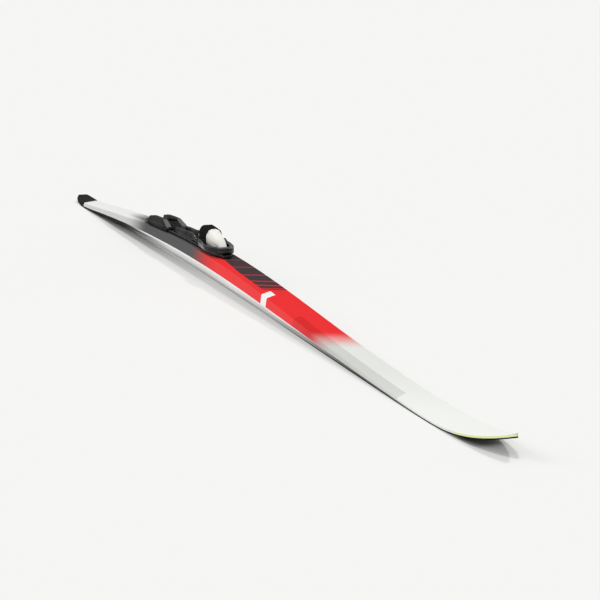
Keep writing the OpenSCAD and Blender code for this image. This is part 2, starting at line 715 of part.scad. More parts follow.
// Jaw: a steel strip that slides in the housing, with a claw that closes over the boot bar
jaw_low_h = jaw_floor_h + jaw_play;
cam_room = 0.55;
module jaw() {
    strip_l = spring_tab_x + tab_t - claw_x;
    slot_half = cam_r + cam_room;
    color([0.75, 0.75, 0.77])
        toe_frame() {
            difference() {
                translate([claw_x, -jaw_w / 2, jaw_low_h])
                    cube([strip_l, jaw_w, jaw_t]);
                translate([shaft_x - slot_half, -tab_w / 2 - jaw_play, 0])
                    cube([2 * slot_half, tab_w + 2 * jaw_play, 5]);
            }
            translate([claw_x, -jaw_w / 2, jaw_low_h])
                cube([claw_t, jaw_w, lip_low_h + 1 - jaw_low_h]);
            side_slab(claw_w)
                polygon([[claw_x + claw_t, lip_low_h], [claw_x + claw_t, claw_h - 2],
                    [claw_x + claw_t - 1, claw_h], [claw_x - 0.4, claw_h],
                    [claw_x - lip_over, lip_low_h + 1.8], [claw_x - lip_over, lip_low_h]]);
            for (x = [shaft_x - slot_half - tab_t, shaft_x + slot_half])
                translate([x, -tab_w / 2, jaw_low_h])
                    cube([tab_t, tab_w, tab_top_h - jaw_low_h]);
            translate([spring_tab_x, -tab_w / 2 + 0.3, jaw_low_h])
                cube([tab_t, tab_w - 0.6, 2 * spring_r]);
        }
}

// Compression spring that pushes the jaw shut
function coil_point(t, a, r) = let (c = spring_r - spring_wire_d / 2, turn = 360 * t)
    [a * t / spring_turns + r[0], (c + r[1]) * cos(turn), (c + r[1]) * sin(turn)];
module jaw_spring() {
    rear_x = spring_tab_x + tab_t + spring_wire_d / 2;
    run = channel_front_x - spring_wire_d / 2 - rear_x;
    steps = 12 * spring_turns;
    sides = 5;
    color([0.7, 0.7, 0.72])
        toe_frame()
            translate([rear_x, 0, jaw_low_h + spring_r])
                loft([for (i = [0:steps]) [for (j = [0:sides - 1])
                    coil_point(i * spring_turns / steps, run, spring_wire_d / 2
                        * [-sin(360 * j / sides), cos(360 * j / sides)])]]);
}

// Lever: a horseshoe that lifts from the front and turns on the shaft behind the cap
lever_rear_r = 5.2;
arm_gap_h = 0.6;
lever_nose_l = lever_x - (housing_front_x - toe_nose_l);
inner_nose_l = lever_nose_l - grip_l;
module lever_plan() {
    centre_x = housing_front_x - toe_nose_l;
    difference() {
        mirrored_outline(concat(
            [for (p = round_nose(lever_w, lever_nose_l, 16, 2.1)) [centre_x + p[0], p[1]]],
            [[shaft_x - lever_rear_r, lever_w / 2 - 0.6]]));
        mirrored_outline(concat(
            [for (p = round_nose(lever_gap_w, inner_nose_l, 16, nose_power))
                [centre_x + p[0], p[1]]],
            [[shaft_x - lever_rear_r - 1, lever_gap_w / 2]]));
    }
}
module lever_side() {
    union() {
        translate([shaft_x, shaft_h])
            circle(r = lever_rear_r);
        polygon([[shaft_x, shaft_h - lever_rear_r], [shaft_x + 14, arm_gap_h],
            [lever_x - 2, arm_gap_h], [lever_x, arm_gap_h + 2], [lever_x, lever_top_h - 3],
            [lever_x - 3, lever_top_h - 0.6], [lever_x - 14, lever_top_h],
            [shaft_x + 34, lever_top_h - 0.5], [shaft_x + 12, lever_top_h + 1.2],
            [shaft_x, shaft_h + lever_rear_r]]);
    }
}
grip_w = 22;
grip_low_h = lever_top_h / 2 - 0.5;
scoop_r = 90;
scoop_depth = 0.8;
// Space of the grip block, which forms the upper front of the nose
module grip_seat(room) {
    translate([lever_x - grip_l + 2 - room, -grip_w / 2 - room, grip_low_h - room])
        cube([grip_l, grip_w + 2 * room, lever_top_h]);
}
module lever() {
    color([0.12, 0.12, 0.13])
        toe_frame()
            difference() {
                intersection() {
                    linear_extrude(height = 20)
                        lever_plan();
                    side_slab(lever_w + 2)
                        lever_side();
                }
                translate([shaft_x, 0, shaft_h])
                    cross_round(shaft_d / 2 + 0.02, lever_w - 3);
                grip_seat(glue);
                // Finger hollow under the front edge
                translate([lever_x + 1.5, 0, arm_gap_h - 1])
                    cross_round(grip_low_h - glue, grip_w - 6);
                // Shallow dishes in the outer faces of the arms
                for (side = [-1, 1])
                    translate([shaft_x + 11, side * (lever_w / 2 - 0.3 + scoop_r - scoop_depth),
                        lever_top_h / 2 + 1.2])
                        sphere(r = scoop_r, $fn = 144);
            }
}
module lever_grip() {
    color([0.25, 0.25, 0.26])
        toe_frame()
            difference() {
                intersection() {
                    grip_seat(0);
                    linear_extrude(height = 20)
                        lever_plan();
                    side_slab(grip_w)
                        polygon([[lever_x - grip_l, 0], [lever_x, 0], [lever_x, lever_top_h - 3.4],
                            [lever_x - 2.6, lever_top_h - 0.2], [lever_x - 6, lever_top_h + 0.6],
                            [lever_x - grip_l, lever_top_h + 0.8]]);
                }
                for (i = [1:3])
                    translate([lever_x - 10.6 + i * 2, -grip_w, lever_top_h - 0.5])
                        cube([0.7, 2 * grip_w, 3]);
            }
}
// Shaft with the cam that drives the jaw; it turns with the lever
module lever_shaft() {
    color([0.7, 0.7, 0.72])
        toe_frame()
            translate([shaft_x, 0, shaft_h]) {
                cross_round(shaft_d / 2, lever_w - 3.4);
                cross_round(shaft_d / 2 + 0.6, tab_w);
                translate([-1, -tab_w / 2, -cam_arm])
                    cube([2, tab_w, cam_arm]);
                translate([0, 0, -cam_arm])
                    cross_round(cam_r, tab_w);
            }
}

// Heel unit: a housing that slides along the plate's flanges, with two ridges and ramps
lip_top_h = -flange_t - 2 * slide_play - 0.1;
lip_l = 44;
lip_t = 1.2;
skirt_low_h = lip_top_h - lip_t;
clamp_x = heel_l / 2 - heel_ramp_l + 4;
clamp_h = heel_floor_t + 3.4;
clamp_r = 3.2;
pad_front_x = clamp_x - 9;
cam_w = 8;
cam_reach = clamp_h + slide_play - 0.35;
module heel_frame() {
    on_deck(heel_x)
        translate([0, 0, slide_play - glue])
            children();
}
module ridge_profile(side) {
    in_y = side * heel_clear_w / 2;
    out_y = side * (heel_clear_w / 2 + heel_ridge_w);
    polygon([[in_y, 0], [out_y, 0], [out_y, heel_floor_t + 2], [out_y - side * 2, heel_h - 1],
        [out_y - side * 3, heel_h + 1], [in_y + side * 1.4, heel_h + 1],
        [in_y + side * 0.6, heel_h - 0.5]]);
}
module ridge_side() {
    l = heel_l / 2;
    polygon([[-l, 0], [l, 0], [l, heel_floor_t - 1.2], [l - 3, heel_floor_t],
        [l - heel_ramp_l, heel_h - 1.5], [l - heel_ramp_l - 3, heel_h],
        [0, heel_h + 0.4], [24 - l, heel_h - 0.3], [8 - l, heel_h - 1.8], [3 - l, heel_h - 4],
        [-l, heel_floor_t]]);
}
module heel_housing() {
    color([0.13, 0.13, 0.14])
        heel_frame()
            difference() {
                union() {
                    intersection() {
                        union() {
                            for (side = [-1, 1])
                                cross_slab(-heel_l / 2, heel_l)
                                    ridge_profile(side);
                        }
                        side_slab(heel_w)
                            ridge_side();
                    }
                    cross_slab(-heel_l / 2, heel_l - heel_ramp_l + 17)
                        translate([-heel_w / 2, 0])
                            square([heel_w, heel_floor_t]);
                    // Skirts beside the plate and lips under its flanges
                    for (side = [-1, 1]) {
                        cross_slab(-heel_l / 2 + 6, heel_l - 12)
                            polygon([[side * (plate_w / 2 + slide_play), 0.5],
                                [side * heel_w / 2, 0.5], [side * heel_w / 2, skirt_low_h + 1],
                                [side * (heel_w / 2 - 0.8), skirt_low_h],
                                [side * (plate_w / 2 + slide_play), skirt_low_h]]);
                        cross_slab(-lip_l / 2, lip_l)
                            polygon([[side * (plate_w / 2 - flange_over + 1), skirt_low_h],
                                [side * (plate_w / 2 + slide_play), skirt_low_h],
                                [side * (plate_w / 2 + slide_play), lip_top_h],
                                [side * (plate_w / 2 - flange_over + 1), lip_top_h]]);
                    }
                    // Ears for the clamp's pin, standing against the ridges
                    for (side = [-1, 1])
                        translate([clamp_x, side * (heel_clear_w / 2 + 1), clamp_h])
                            cross_round(clamp_r, 2);
                }
                translate([clamp_x, 0, clamp_h])
                    cross_round(clamp_pin_d / 2 + 0.02, heel_clear_w + 10);
                // Window for the clamp's cam
                translate([clamp_x - 4, -cam_w / 2 - slide_play, -1])
                    cube([cam_reach + 5, cam_w + 2 * slide_play, heel_floor_t + 2]);
                // Pockets that lighten the ridges from below
                for (side = [-1, 1], x = [-40, -14, 12])
                    translate([x - 9, side * (heel_clear_w / 2 + heel_ridge_w / 2 - 0.3) - 2, -1])
                        cube([18, 4, heel_h - 3]);
            }
}
module heel_pad() {
    l = heel_l / 2;
    color([0.24, 0.24, 0.25])
        heel_frame()
            difference() {
                cross_slab(-l + 6, pad_front_x + l - 6)
                    polygon([[-pad_w / 2, heel_floor_t + glue], [pad_w / 2, heel_floor_t + glue],
                        [pad_w / 2, heel_floor_t + pad_h - 1],
                        [pad_w / 2 - 1, heel_floor_t + pad_h],
                        [1 - pad_w / 2, heel_floor_t + pad_h],
                        [-pad_w / 2, heel_floor_t + pad_h - 1]]);
                for (i = [0:5])
                    translate([-l + 12 + i * 9, -pad_w, heel_floor_t + pad_h - 1.2])
                        cube([3, 2 * pad_w, 3]);
            }
}
module clamp_pin() {
    color([0.7, 0.7, 0.72])
        heel_frame()
            translate([clamp_x, 0, clamp_h])
                cross_round(clamp_pin_d / 2, heel_clear_w + 8);
}
// Clamp lever with the cam that grips the plate
clamp_w = heel_clear_w - 1;
clamp_bar_x = heel_l / 2 + 1.3;
module clamp_lever() {
    color([0.45, 0.45, 0.46])
        heel_frame()
            difference() {
                union() {
                    translate([clamp_x, 0, clamp_h])
                        cross_round(clamp_r, clamp_w);
                    side_slab(cam_w)
                        polygon([[clamp_x - 3, clamp_h], [clamp_x - 2.4, clamp_h - cam_reach + 0.6],
                            [clamp_x - 1.2, clamp_h - cam_reach + 0.1], [clamp_x + 1.2, clamp_h
                            - cam_reach + 0.1], [clamp_x + 3, clamp_h - 3]]);
                    side_slab(clamp_w)
                        polygon([[clamp_x, clamp_h - 1.2], [clamp_bar_x - 12, clamp_h - 2],
                            [clamp_bar_x + 1, 0.6], [clamp_bar_x + 3, 3], [clamp_bar_x - 4, 5.6],
                            [clamp_x + 5, clamp_h + 2.9], [clamp_x, clamp_h + clamp_r]]);
                    // Cross bar for the fingers, ahead of the ridges' ramps
                    side_slab(heel_w - 2)
                        polygon([[clamp_bar_x, 0.4], [clamp_x + clamp_l, 0.4],
                            [clamp_x + clamp_l, 1.6], [clamp_x + clamp_l - 2, 3.2],
                            [clamp_bar_x + 1.4, 3.8], [clamp_bar_x, 3]]);
                }
                translate([clamp_x, 0, clamp_h])
                    cross_round(clamp_pin_d / 2 + shaft_play, clamp_w + 2);
            }
}

core();
base();
sidewall_left();
sidewall_right();
top_sheet();
tip_piece();
tail_protector();
binding_plate();
plate_screws();
guide_rails();
guide_screws();
toe_housing();
toe_screws();
flexor();
toe_cap();
cap_pin();
jaw_spring();
jaw();
lever();
lever_shaft();
lever_grip();
heel_housing();
heel_pad();
clamp_pin();
clamp_lever();
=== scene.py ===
import json
from math import cos, pi, sin

import bpy
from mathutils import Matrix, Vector


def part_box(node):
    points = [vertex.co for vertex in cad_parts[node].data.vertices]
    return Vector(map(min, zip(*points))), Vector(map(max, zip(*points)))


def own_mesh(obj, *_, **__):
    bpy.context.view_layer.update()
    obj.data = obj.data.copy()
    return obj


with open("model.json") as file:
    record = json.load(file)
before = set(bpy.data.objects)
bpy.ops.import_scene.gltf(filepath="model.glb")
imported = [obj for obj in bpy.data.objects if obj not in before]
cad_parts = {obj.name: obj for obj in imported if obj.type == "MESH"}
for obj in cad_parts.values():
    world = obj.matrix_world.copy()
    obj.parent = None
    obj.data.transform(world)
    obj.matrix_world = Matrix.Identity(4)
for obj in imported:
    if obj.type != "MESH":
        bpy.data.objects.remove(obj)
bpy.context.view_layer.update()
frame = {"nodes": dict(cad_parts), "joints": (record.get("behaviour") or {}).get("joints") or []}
nodes = frame["nodes"]
print("frame loaded:", len(nodes), "nodes")


def linear(*rgb):
    # display colour 0..255 to the linear value that a shader wants
    def one(c):
        c = c / 255
        return c / 12.92 if c <= 0.04045 else ((c + 0.055) / 1.055) ** 2.4
    return (*[one(c) for c in rgb], 1)


class Sock:
    # wraps a socket so that shader maths reads as plain expressions
    def __init__(self, maker, socket):
        self.maker, self.socket = maker, socket

    def op(self, kind, *others):
        return self.maker.node("ShaderNodeMath", {"operation": kind}, [self, *others])

    def __add__(self, o): return self.op("ADD", o)
    def __radd__(self, o): return self.op("ADD", o)
    def __sub__(self, o): return self.op("SUBTRACT", o)
    def __rsub__(self, o): return (self * -1).op("ADD", o)
    def __mul__(self, o): return self.op("MULTIPLY", o)
    def __rmul__(self, o): return self.op("MULTIPLY", o)
    def __truediv__(self, o): return self.op("DIVIDE", o)
    def __pow__(self, o): return self.op("POWER", o)
    def __abs__(self): return self.op("ABSOLUTE")

    def most(self, o): return self.op("MAXIMUM", o)

    def step(self, a, b):
        # rises smoothly from 0 at a to 1 at b
        return self.maker.node("ShaderNodeMapRange", {"interpolation_type": "SMOOTHSTEP"},
                               [self, a, b, 0, 1])

    def band(self, a, b, soft=0.0003):
        return self.step(a - soft, a + soft) * (1 - self.step(b - soft, b + soft))


class Nodes:
    # makes and joins the nodes of one tree
    def __init__(self, tree):
        self.tree = tree

    def feed(self, socket, value):
        if isinstance(value, Sock):
            self.tree.links.new(value.socket, socket)
        else:
            socket.default_value = value

    def node(self, kind, settings=None, values=(), out=0):
        made = self.tree.nodes.new(kind)
        for key, value in (settings or {}).items():
            if key == "stops":
                self.setStops(made.color_ramp, value)
            else:
                setattr(made, key, value)
        pairs = values.items() if isinstance(values, dict) else enumerate(values)
        for key, value in pairs:
            self.feed(made.inputs[key], value)
        return Sock(self, made.outputs[out]) if made.outputs else None

    def setStops(self, ramp, stops):
        while len(ramp.elements) < len(stops):
            ramp.elements.new(0.5)
        for element, (place, colour) in zip(ramp.elements, stops):
            element.position, element.color = place, colour


class Finish(Nodes):
    # one material, with helpers for what most of them share
    def __init__(self, name):
        self.material = bpy.data.materials.new(name)
        self.material.use_nodes = True
        super().__init__(self.material.node_tree)
        self.shader = self.tree.nodes["Principled BSDF"]

    def put(self, **values):
        # sets the shader's sockets: baseColor=... goes to Base Color
        for key, value in values.items():
            words = "".join(" " + c if c.isupper() else c for c in key).title()
            name = "Specular IOR Level" if key == "specularLevel" else words
            self.feed(self.shader.inputs[name], value)
        return self

    def place(self):
        return self.node("ShaderNodeTexCoord", out="Object")

    def xyz(self):
        made = self.node("ShaderNodeSeparateXYZ", None, [self.place()])
        return [Sock(self, made.socket.node.outputs[i]) for i in range(3)]

    def stretched(self, x, y, z):
        return self.node("ShaderNodeVectorMath", {"operation": "MULTIPLY"},
                         [self.place(), (x, y, z)])

    def noise(self, scale, detail=3, rough=0.55, where=None):
        return self.node("ShaderNodeTexNoise", None, {
            "Vector": where or self.place(), "Scale": scale, "Detail": detail,
            "Roughness": rough})

    def mix(self, factor, a, b, how="MIX"):
        return self.node("ShaderNodeMix", {"data_type": "RGBA", "blend_type": how},
                         {0: factor, 6: a, 7: b}, out=2)

    def along(self, x, stops, top=1.0):
        # a value that changes along the ski: place in metres, then value
        greys = [(place / 2 + 0.5, (v / top, v / top, v / top, 1)) for place, v in stops]
        return self.node("ShaderNodeValToRGB", {"stops": greys}, [x * 0.5 + 0.5]) * top

    def facing(self, axis):
        made = self.node("ShaderNodeNewGeometry", out="Normal")
        return self.node("ShaderNodeSeparateXYZ", None, [made], out=axis)

    def edges(self, radius):
        # 0 on flat faces, up to 1 where the surface turns within the radius
        soft = self.node("ShaderNodeBevel", {"samples": 6}, {"Radius": radius})
        true = self.node("ShaderNodeNewGeometry", out="True Normal")
        same = self.node("ShaderNodeVectorMath", {"operation": "DOT_PRODUCT"},
                         [soft, true], out="Value")
        return (1 - same).step(0.01, 0.22)

    def bump(self, height, distance, strength=1.0):
        return self.node("ShaderNodeBump", None, {
            "Strength": strength, "Distance": distance, "Height": height})


# printed film: colours, then places in metres from the ski's middle (X) and its centre
# line (Y); a slant shifts a border along the ski by that share of Y
film = {
    "white": (235, 236, 234), "dark": (93, 93, 94), "red": (238, 52, 54),
    "panel": (69, 60, 63), "line": (205, 45, 54), "pale": (229, 232, 227),
    "tip": (242, 244, 240), "stripe": (244, 243, 240), "tailBlack": (34, 34, 35),
    "wander": 0.012,  # how far the fades wander
    "fadeDark": (-0.525, -0.35), "darkLead": 0.075, "darkLeadY": (-0.014, -0.001),
    "fadeRed": (-0.056, 0.09), "redSlant": 0.8,
    "fadePale": (0.485, 0.565), "paleSlant": 0.35, "fadeTip": (0.62, 0.86),
    "bandX": (0.402, 0.745), "bandY": -0.0056, "bandSlant": 0.9,
    "bandShade": (0.82, 0.816, 0.808, 1),
    "panelX": (0.02, 0.2685), "panelY": -0.0112, "panelSlant": 0.4,
    "panelNarrows": (0.17, 0.04), "panelNarrowsBy": 0.0062,
    "lines": [(0.0625, 0.0028), (0.1195, 0.004), (0.1735, 0.005), (0.2135, 0.006),
              (0.2385, 0.007), (0.2585, 0.0055)],  # start and width
    "stripeX": (0.272, 0.294), "stripeY": -0.0035, "stripeSlant": 0.85,
    "tailX": -0.9145, "tailSlant": 0.866, "soft": 0.0003,
    # painted light and shade of the flanks along the ski, and the white of a painted sheen that
    # is mixed in
    "flankTones": [(-0.5, 0.84), (-0.4, 1.12), (0.45, 1.12), (0.53, 0.92), (0.76, 0.89),
                   (0.85, 0.96)],
    "flankPaintedSheen": [(0.0, 0.0), (0.08, 0.034), (0.45, 0.034), (0.55, 0.0)],
    "pearl": 0.05, "edgePolish": 0.5, "edgeWidth": 0.0011,
}


def tailLine(x, y):
    # 1 behind the slanted front edge of the black tail
    soft = 2 * film["soft"]
    return (x + y * film["tailSlant"]).step(film["tailX"] + soft, film["tailX"] - soft)


def topFilm():
    f = Finish("printedFilm")
    x, y, z = f.xyz()
    soft = film["soft"]
    wandered = x + f.noise(26, 2) * film["wander"] - film["wander"] / 2
    darkLine = wandered + y.step(*film["darkLeadY"]) * film["darkLead"]
    colour = f.mix(darkLine.step(*film["fadeDark"]), linear(*film["white"]),
                   linear(*film["dark"]))
    redLine = wandered - y * film["redSlant"]
    colour = f.mix(redLine.step(*film["fadeRed"]), colour, linear(*film["red"]))
    paleLine = wandered - y * film["paleSlant"]
    colour = f.mix(paleLine.step(*film["fadePale"]), colour, linear(*film["pale"]))
    colour = f.mix(x.step(*film["fadeTip"]), colour, linear(*film["tip"]))
    # darker half along the near side, with a slanted front end
    half = (x + y * film["bandSlant"]).band(*film["bandX"]) * y.step(
        film["bandY"] + soft, film["bandY"] - soft)
    colour = f.mix(half, colour, film["bandShade"], "MULTIPLY")
    # dark panel ahead of the binding, cut by slanted lines
    slanted = x - y * film["panelSlant"]
    edge = x.step(*film["panelNarrows"]) * film["panelNarrowsBy"] + film["panelY"]
    inPanel = (y - edge).step(-0.0002, 0.0002) * slanted.band(*film["panelX"], 0.0005)
    colour = f.mix(inPanel, colour, linear(*film["panel"]))
    lined = None
    for start, width in film["lines"]:
        one = slanted.band(start, start + width, 2 * soft)
        lined = one if lined is None else lined.most(one)
    colour = f.mix(lined * inPanel, colour, linear(*film["line"]))
    # plain white stripe that wraps the near edge
    stripe = (x + y * film["stripeSlant"]).band(*film["stripeX"], 0.0004) * y.step(
        film["stripeY"] + soft, film["stripeY"] - soft)
    colour = f.mix(stripe, colour, linear(*film["stripe"]))
    colour = f.mix(tailLine(x, y), colour, linear(*film["tailBlack"]))
    # flanks get painted light and shade along the ski, and a little white of a painted sheen in
    # the red
    flank = abs(f.facing("Y")).step(0.5, 0.9)
    colour = f.mix(flank, colour, f.along(x, film["flankTones"], 2), "MULTIPLY")
    colour = f.mix(flank * f.along(x, film["flankPaintedSheen"]), colour, linear(255, 255, 255))
    # a fine pearl lies in the print
    fleck = f.noise(900, 2, 0.7).step(0.62, 0.8)
    colour = f.mix(fleck * film["pearl"], colour, linear(255, 255, 252))
    smear = f.noise(9, 4, 0.6, f.stretched(1, 6, 6))
    f.put(baseColor=colour, roughness=smear * 0.14 + 0.5, specularLevel=0.0,
          coatWeight=f.edges(film["edgeWidth"]) * film["edgePolish"] + smear * 0.03,
          coatRoughness=0.22, normal=f.bump(f.noise(240, 2), 0.00003, 0.35))
    return f.material


# sidewalls: lightness 0..255 along the ski, its own black at the tail and painted shade ahead of
# the middle; then the painted highlight at the top of the strip and the painted shade at its
# bottom, as shares of its height, between two places along the ski
wall = {
    "toneAndPaintedShade": [(-0.52, 22), (-0.44, 48), (-0.36, 112), (-0.29, 178), (-0.18, 225), (0.17, 236),
              (0.3, 215), (0.44, 172), (0.55, 130), (0.65, 92), (0.74, 128), (0.83, 240)],
    "rim": (253, 253, 252), "paintedHighlightShare": (0.62, 0.9), "rimPolish": 0.4,
    "foot": (158, 158, 158), "paintedShadeShare": (0.55, 0.0),
    "between": (-0.42, 0.5), "betweenSoft": 0.12, "cloud": (190, 190, 188),
    "stations": 40, "highest": 0.06,  # how finely the strip's edges are followed
}


def edgeHeights(piece, pick):
    # highest or lowest vertex of a long strip at even stations along X, in metres
    count = wall["stations"]
    found = {}
    for vertex in piece.data.vertices:
        at = round((vertex.co.x + 1) / 2 * count)
        found[at] = pick(found.get(at, vertex.co.z), vertex.co.z)
    return [(at / count, z) for at, z in sorted(found.items())]


def heightCurve(finish, x, heights):
    # a curve from the place along the ski to a height, for shader maths
    made = finish.node("ShaderNodeFloatCurve", None, {"Value": x * 0.5 + 0.5})
    mapping = made.socket.node.mapping
    curve = mapping.curves[0]
    scaled = [(at, z / wall["highest"]) for at, z in heights]
    curve.points[0].location, curve.points[1].location = scaled[0], scaled[-1]
    for at, z in scaled[1:-1]:
        curve.points.new(at, z)
    mapping.update()
    return made * wall["highest"]


def sidewallFinish():
    f = Finish("sidewallPlastic")
    x, y, z = f.xyz()
    piece = nodes["sidewall_left"]
    low = heightCurve(f, x, edgeHeights(piece, min))
    high = heightCurve(f, x, edgeHeights(piece, max))
    share = (z - low) / (high - low).most(0.001)
    grain = f.noise(60, 4, 0.6, f.stretched(0.15, 1, 6))
    middle = x.band(*wall["between"], wall["betweenSoft"])
    stops = [(place / 2 + 0.5, linear(tone, tone, tone - 2)) for place, tone in wall["toneAndPaintedShade"]]
    colour = f.node("ShaderNodeValToRGB", {"stops": stops}, [x * 0.5 + 0.5])
    colour = f.mix(grain * 0.08, colour, linear(*wall["cloud"]))
    # painted shade: the bottom of the strip greyer in the middle of the ski
    colour = f.mix(share.step(*wall["paintedShadeShare"]) * middle, colour, linear(*wall["foot"]))
    # painted highlight: the top of the strip brighter in the middle of the ski
    rim = share.step(*wall["paintedHighlightShare"]) * middle
    colour = f.mix(rim, colour, linear(*wall["rim"]))
    f.put(baseColor=colour, roughness=grain * 0.2 + 0.4, specularLevel=0.0,
          coatWeight=rim * wall["rimPolish"] + 0.02, coatRoughness=0.2,
          normal=f.bump(grain, 0.00004, 0.4))
    return f.material


# running base: black, ground with fine lines along the ski; its side is painted paler in the
# middle of the ski, painted light
running = {
    "dark": (20, 20, 21), "light": (34, 34, 36), "paintedLight": (205, 205, 204),
    "paintedLightX": (-0.34, 0.4), "paintedLightSoft": 0.14, "lines": 420, "depth": 0.00006,
}


def baseFinish():
    f = Finish("groundBase")
    x, y, z = f.xyz()
    lines = f.noise(running["lines"], 3, 0.6, f.stretched(0.02, 1, 1))
    colour = f.mix(f.noise(20, 3) * 0.5, linear(*running["dark"]), linear(*running["light"]))
    # painted light: the base's side paler in the middle of the ski
    paintedLight = abs(f.facing("Y")).step(0.6, 0.9) * x.band(
        *running["paintedLightX"], running["paintedLightSoft"])
    colour = f.mix(paintedLight, colour, linear(*running["paintedLight"]))
    f.put(baseColor=colour, roughness=lines * 0.18 + 0.4, specularLevel=0.0,
          coatWeight=lines * 0.06, coatRoughness=0.25,
          normal=f.bump(lines, running["depth"], 0.5))
    return f.material


# tail protector: black plastic up to the film's slanted line, with a lighter scratch along
# that line and a white field ahead of it above the black foot
tail = {
    "dark": (30, 30, 31), "light": (44, 44, 45), "worn": (92, 92, 92),
    "scratch": (120, 120, 120), "scratchX": (-0.0105, -0.0075), "scratchSoft": 0.0008,
    "foot": (28, 28, 29), "footZ": (0.0026, 0.0029), "footRises": (-0.908, -1.0),
    "footRise": 0.0052, "edgeWidth": 0.0006,
}


def tailFinish():
    f = Finish("tailPlastic")
    x, y, z = f.xyz()
    fine = f.noise(1300, 2, 0.6)
    colour = f.mix(f.noise(30, 4) * 0.5, linear(*tail["dark"]), linear(*tail["light"]))
    start, end = [film["tailX"] + place for place in tail["scratchX"]]
    scratch = (x + y * film["tailSlant"]).band(start, end, tail["scratchSoft"])
    colour = f.mix(scratch * 0.5, colour, linear(*tail["scratch"]))
    colour = f.mix(1 - tailLine(x, y), colour, linear(*film["white"]))
    above = z - x.step(*tail["footRises"]) * tail["footRise"]
    foot = abs(f.facing("Y")).step(0.6, 0.9) * (1 - above.step(*tail["footZ"]))
    colour = f.mix(foot, colour, linear(*tail["foot"]))
    # edges painted lighter: partly wear, partly a painted highlight
    worn = f.edges(tail["edgeWidth"])
    colour = f.mix(worn * 0.2, colour, linear(*tail["worn"]))
    f.put(baseColor=colour, roughness=fine * 0.15 + 0.5, specularLevel=0.0,
          coatWeight=worn * 0.4 + 0.05, coatRoughness=0.25,
          normal=f.bump(fine, 0.00005, 0.5))
    return f.material


# tip piece: bright yellow green plastic, its edge polished
tip = {"light": (240, 252, 176), "deep": (230, 247, 150), "edgeWidth": 0.0005,
       "edgePolish": 0.4}


def tipFinish():
    f = Finish("tipPlastic")
    flow = f.noise(45, 3)
    colour = f.mix(flow * 0.4, linear(*tip["light"]), linear(*tip["deep"]))
    f.put(baseColor=colour, roughness=flow * 0.15 + 0.45, specularLevel=0.0,
          coatWeight=f.edges(tip["edgeWidth"]) * tip["edgePolish"], coatRoughness=0.15,
          normal=f.bump(f.noise(900, 2), 0.00003, 0.3))
    return f.material


# core: pale foam with fine cells
foamCore = {"cell": (198, 170, 120), "wall": (226, 204, 160), "cells": 900}


def coreFinish():
    f = Finish("coreFoam")
    cells = f.node("ShaderNodeTexVoronoi", None,
                   {"Vector": f.place(), "Scale": foamCore["cells"]})
    colour = f.mix(cells.step(0.2, 0.7), linear(*foamCore["cell"]), linear(*foamCore["wall"]))
    f.put(baseColor=colour, roughness=0.8, normal=f.bump(cells, 0.0002, 0.6))
    return f.material


# moulded pieces: colour and its second tone, roughness of the polish, sheen all over, polish
# on the edges, width of an edge in metres, wear and painted highlight that lighten the edges and
# by how much, fine grain, polish and painted highlight on slopes that face forward, milkiness
mouldedUsual = {"second": None, "rough": 0.2, "sheen": 0.07, "edge": 0.7, "rim": 0.0008,
                "wear": 0.3, "lift": 62, "grain": 1500, "ramp": 0.0, "milk": 0.0,
                "scoopHighlight": None}
moulded = {
    "binding_plate": {"name": "platePlastic", "rgb": (26, 26, 27), "edge": 1.0, "wear": 0.6,
                      "rim": 0.0011, "lift": 110},
    "guide_rails": {"name": "railPlastic", "rgb": (22, 22, 23), "sheen": 0.16, "ramp": 0.35},
    "toe_housing": {"name": "housingPlastic", "rgb": (18, 18, 19), "rough": 0.18,
                    "sheen": 0.16},
    "toe_cap": {"name": "capPlastic", "rgb": (244, 243, 232), "second": (240, 239, 228),
                "rough": 0.25, "sheen": 0.03, "edge": 0.3, "grain": 1100, "wear": 0.35,
                "milk": 0.8},
    "lever": {"name": "leverPlastic", "rgb": (15, 15, 16), "rough": 0.1, "sheen": 0.32,
              "edge": 1.0, "rim": 0.0014, "wear": 0.5,
              # painted highlight on both sides, an oval that follows the arm, with some polish
              # in the coat; in metres
              "scoopHighlight": {"x": -0.01, "z": 0.0528, "fall": 0.08, "long": 0.024,
                        "high": 0.0028, "tone": (96, 97, 99)}},
    "lever_grip": {"name": "gripPlastic", "rgb": (17, 17, 18), "rough": 0.1, "sheen": 0.35,
                   "edge": 1.0, "rim": 0.0014, "wear": 0.9, "lift": 120},
    "heel_housing": {"name": "heelPlastic", "rgb": (17, 17, 18), "sheen": 0.12,
                     "ramp": 0.55, "wear": 0.2, "lift": 88},
    "clamp_lever": {"name": "clampPlastic", "rgb": (20, 20, 21), "rough": 0.25},
}


